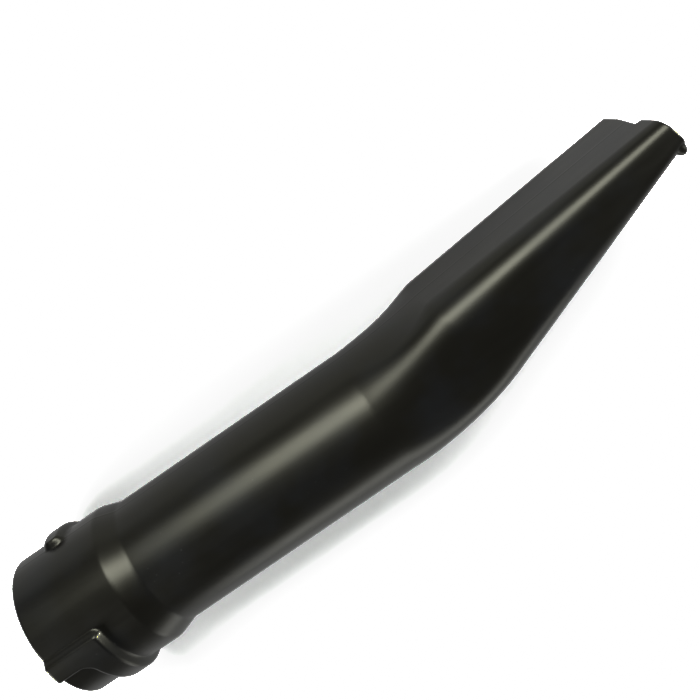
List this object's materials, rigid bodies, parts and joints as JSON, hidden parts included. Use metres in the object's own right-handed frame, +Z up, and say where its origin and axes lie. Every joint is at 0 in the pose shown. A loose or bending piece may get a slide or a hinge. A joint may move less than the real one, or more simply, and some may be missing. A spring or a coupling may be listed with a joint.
{
  "type": "leaf blower nozzle tube",
  "caption": "One-piece blow-moulded blower nozzle: a bayonet cuff, a round tube and a flat tapered nozzle that bends to one side and ends in a slot mouth.",
  "frame": {"origin": "centre of the inlet rim, on the axis of the cuff and the tube", "axes": "+X along the tube from the inlet rim to the mouth, +Y to the side that the nozzle bends to, +Z up as the part lies on its side"},
  "size_m": [0.3952, 0.0967, 0.087],
  "materials": {
    "black_plastic": "satin"
  },
  "bodies": {
    "root": {"nozzle_tube": "black_plastic"}
  },
  "joints": []
}
